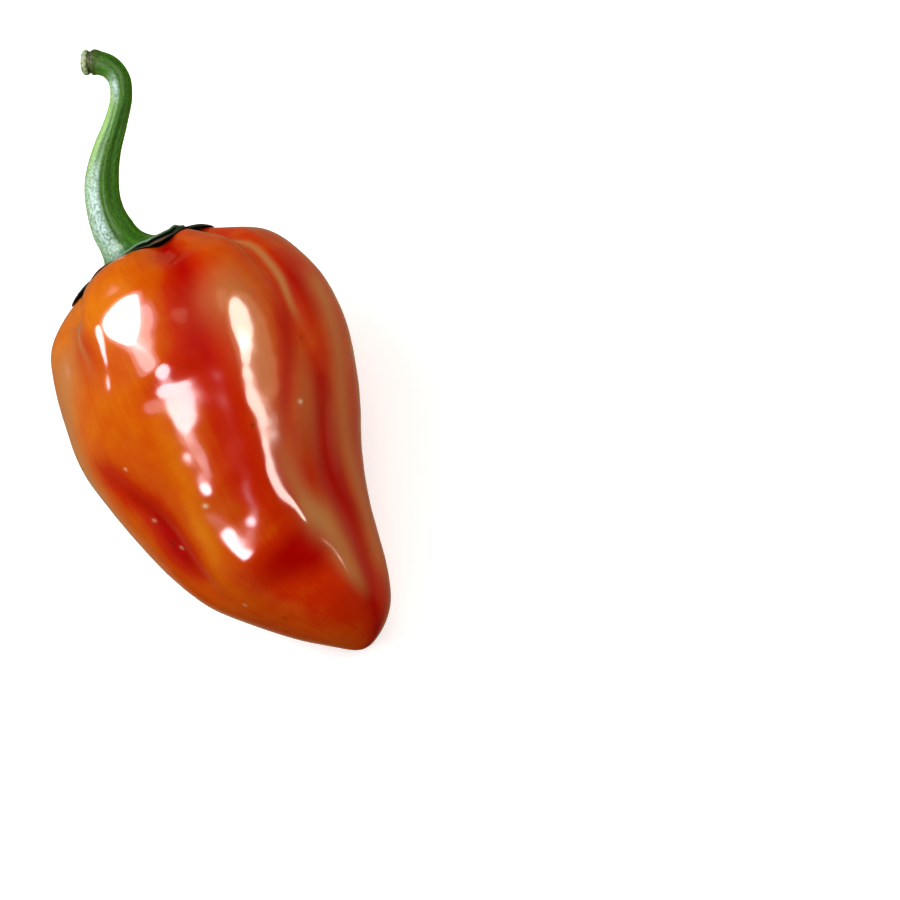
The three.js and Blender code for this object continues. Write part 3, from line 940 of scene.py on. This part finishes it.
def stem_colour(tree, grain, share, speckle):
    """Green, with painted light as lime along the left side, a bluish foot, a painted sheen in bluish-white
    speckles and a pale edge on the foot.
    """
    fibres = streaks_of(tree, grain, (7, 5), 3)
    green = ramp(tree, maths(tree, "ADD", fibres, around_zero(tree, speckle, 0.5)), STEM_COLOURS)
    right = add(tree, "ShaderNodeSeparateXYZ", {0: grain}).outputs["Y"]
    left = maths(tree, "MULTIPLY", right, -1.0)
    # Painted light: lime on the left side.
    painted_light = maths(tree, "MULTIPLY", level(tree, left, PAINTED_LIGHT_AROUND), level(tree, share, PAINTED_LIGHT_ALONG))
    green = mix(tree, painted_light, green, PAINTED_LIGHT_LIME)
    green = mix(tree, level(tree, share, FOOT_ALONG), green, FOOT_GREEN)
    # Painted sheen: speckled bluish-white reflection on the left side, low down and at the bend.
    painted_sheen = maths(tree, "MULTIPLY", level(tree, left, SHEEN_AROUND), level(tree, share, SHEEN_ALONG))
    painted_sheen = maths(tree, "MULTIPLY", painted_sheen, level(tree, speckle, SHEEN_SPECKLES))
    green = mix(tree, painted_sheen, green, PAINTED_SHEEN)
    return mix(tree, attribute(tree, "edge"), green, EDGE_GREEN)


def stem_end_colour(tree, share, speckle, green):
    """The stem's green up to a dark ring in the groove under the collar's rim, and the pale scar at the end.
    """
    ringed = mix(tree, level(tree, share, RING_ALONG), green, ramp(tree, speckle, RING_COLOURS))
    scar = maths(tree, "GREATER_THAN", share, SCAR_START)
    return mix(tree, scar, ringed, ramp(tree, speckle, SCAR_COLOURS))


def stem_material():
    """The stem: satin green, with a dark ring and a pale scar at its end."""
    made, tree, shader = material("stem_green")
    grain = attribute(tree, "grain", "Vector")
    share = attribute(tree, "place")
    speckle = noise_of(tree, add(tree, "ShaderNodeTexCoord").outputs["Object"], 1500, 3)
    green = stem_colour(tree, grain, share, speckle)
    feed(tree, shader, {
        "Base Color": stem_end_colour(tree, share, speckle, green),
        "Normal": bump(tree, speckle, 0.8, 0.0004),
        "Roughness": 0.55,
        "Specular IOR Level": 0.05,
        "Coat Weight": 0.12,
        "Coat Roughness": 0.3,
    })
    return made


def floor_material():
    """A matt white that glows a little, so that only a faint shadow is left on it."""
    made, tree, shader = material("floor_white")
    feed(tree, shader, {
        "Base Color": FLOOR_WHITE,
        "Roughness": 0.6,
        "Emission Color": WHITE,
        "Emission Strength": 0.42,
    })
    return made


# ---- The pepper ----


def dress(piece, node, look):
    """Puts a fine piece in the place of a CAD node."""
    piece.data.materials.append(look)
    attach(piece, "root")
    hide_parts(node)


dress(pod(), "pod", skin_material())
dress(calyx(), "calyx", calyx_material())
dress(stem(), "stem", stem_material())

# ---- Floor, light and camera, their sizes and distances in metres ----

FLOOR_HALF = 6.0
LIGHT_DISTANCE = 2.0
LIT_POINT = Vector(to_row(np.array([40.0, 0.0, 10.0])))
COOL = (1.0, 0.86, 0.94)
WARM = (1.0, 0.93, 0.84)
TAN = (1.0, 0.78, 0.5)
BROWN = (1.0, 0.6, 0.35)
DAYLIGHT = (1.0, 0.97, 0.92)


def floor():
    """A plain floor that doesn't light the pepper and doesn't show in its gloss."""
    low, high = -FLOOR_HALF, FLOOR_HALF
    mesh = bpy.data.meshes.new("floor")
    corners = [(low, low, 0), (high, low, 0), (high, high, 0), (low, high, 0)]
    mesh.from_pydata(corners, [], [(0, 1, 2, 3)])
    mesh.materials.append(floor_material())
    made = bpy.data.objects.new("floor", mesh)
    made.visible_glossy = False
    made.visible_diffuse = False
    bpy.context.scene.collection.objects.link(made)


def light(name, azimuth, elevation, size, radiance, colour, mirrored=True):
    """An area light in a direction from the pod, azimuth 0 along +X and 90 along +Y. If mirrored, it only
    shows in gloss, and otherwise it only lights dull surfaces."""
    a, e = math.radians(azimuth), math.radians(elevation)
    way = Vector((math.cos(e) * math.cos(a), math.cos(e) * math.sin(a), math.sin(e)))
    data = bpy.data.lights.new(name, "AREA")
    data.shape = "ELLIPSE"
    data.size, data.size_y = size
    data.energy = radiance * math.pi * size[0] * size[1]
    data.color = colour
    made = bpy.data.objects.new(name, data)
    made.location = LIT_POINT + way * LIGHT_DISTANCE
    made.rotation_euler = way.to_track_quat("Z", "Y").to_euler()
    made.visible_camera = False
    made.visible_glossy = mirrored
    made.visible_diffuse = not mirrored
    bpy.context.scene.collection.objects.link(made)


def pane(name, azimuth, elevation, size, radiance, colour, spread=1.4, faint=0.12):
    """A mirrored light with a wider, fainter one around it, so that its reflection has a soft edge."""
    light(name, azimuth, elevation, size, radiance, colour)
    wide = (size[0] * spread, size[1] * spread)
    light(name + "_edge", azimuth, elevation, wide, radiance * faint, colour)


def lights():
    """Panes and strips that only the gloss mirrors, and soft lights that it doesn't."""
    pane("window", -144, 41, (1.45, 1.45), 24, COOL, spread=1.25, faint=0.1)
    pane("window_top", -150, 62, (1.1, 0.7), 7, COOL, spread=1.3, faint=0.2)
    light("window_foot", -124, 15, (0.95, 0.42), 16, COOL)
    pane("window_side", -106, 61, (0.75, 0.75), 9, COOL, spread=1.6, faint=0.3)
    pane("high", -47, 66, (0.6, 0.8), 18, COOL, spread=1.25, faint=0.08)
    pane("high_tail", -36, 55, (0.3, 0.35), 4.5, COOL, spread=1.3, faint=0.15)
    pane("low", -40, 43, (0.38, 0.38), 24, COOL, faint=0.06)
    pane("strip_top", 86, 52, (0.95, 0.9), 15, WARM, spread=1.2, faint=0.1)
    pane("strip", 62, 50, (0.5, 0.6), 15, WARM)
    pane("strip_turn", 42, 46, (0.4, 0.55), 15, WARM)
    pane("strip_low", 30, 36, (0.4, 0.5), 15, WARM)
    light("strip_halo", 78, 50, (1.7, 1.6), 1.3, TAN)
    light("halo_left", 126, 62, (0.7, 0.7), 1.2, TAN)
    light("wall", 70, 25, (2.6, 1.2), 0.2, BROWN)
    light("key", -125, 42, (1.6, 1.6), 3.4, DAYLIGHT, mirrored=False)
    light("fill", 110, 58, (2.4, 2.4), 1.65, DAYLIGHT, mirrored=False)
    light("bounce", -60, 14, (3.0, 1.0), 1.4, DAYLIGHT, mirrored=False)
    light("bounce_right", 35, 16, (2.0, 0.9), 1.1, DAYLIGHT, mirrored=False)


def surround(tree, way):
    """The colour in a direction: dark overhead and brown towards the ground."""
    up = add(tree, "ShaderNodeSeparateXYZ", {0: way}).outputs["Z"]
    height = maths(tree, "ADD", maths(tree, "MULTIPLY", up, 0.5), 0.5)
    return ramp(tree, height, [
        (0.0, (0.4, 0.27, 0.15)),
        (0.45, (0.34, 0.2, 0.09)),
        (0.56, (0.13, 0.075, 0.03)),
        (0.75, (0.012, 0.01, 0.008)),
        (1.0, (0.01, 0.01, 0.01)),
    ])


def glow(tree, way):
    """The strength in a direction: full around its bright azimuth, and faint on the far side."""
    azimuth = math.radians(160)
    bright = (math.cos(azimuth), math.sin(azimuth), 0)
    facing = add(tree, "ShaderNodeVectorMath", {0: way, 1: bright}, operation="DOT_PRODUCT").outputs["Value"]
    return add(tree, "ShaderNodeMapRange", {
        "Value": facing, "From Min": -0.45, "From Max": -0.05, "To Min": 0.2, "To Max": 1.0
    }, interpolation_type="SMOOTHSTEP").outputs[0]


def world():
    """A dim surround that lights the pepper, with a plain white backdrop where the camera sees it."""
    made = bpy.data.worlds.new("studio")
    made.use_nodes = True
    tree = made.node_tree
    way = add(tree, "ShaderNodeTexCoord").outputs["Generated"]
    backdrop = add(tree, "ShaderNodeLightPath").outputs["Is Camera Ray"]
    feed(tree, tree.nodes["Background"], {
        "Color": mix(tree, backdrop, surround(tree, way), WHITE),
        "Strength": maths(tree, "MAXIMUM", glow(tree, way), backdrop),
    })
    bpy.context.scene.world = made
    bpy.context.scene.view_settings.view_transform = "Standard"


def camera():
    """Looks straight at the pod's upper face, with the pod towards the left and the stem's end at the top.
    Its aim and distance are in the pod's own frame, in millimetres."""
    aim = np.array([73.7, 39.4, 0.0])
    distance = 600.0
    lean = math.radians(31.6)
    up = np.array([-math.cos(lean), math.sin(lean), 0.0]) @ LYING
    back = np.array([0.0, 0.0, 1.0]) @ LYING
    right = np.cross(up, back)
    data = bpy.data.cameras.new("camera")
    data.sensor_width = 36
    data.lens = 104.3
    made = bpy.data.objects.new("camera", data)
    made.matrix_world = Matrix(np.column_stack([right, up, back]).tolist()).to_4x4()
    made.location = to_row(aim + [0, 0, distance])
    bpy.context.scene.collection.objects.link(made)
    bpy.context.scene.camera = made


floor()
lights()
world()
camera()
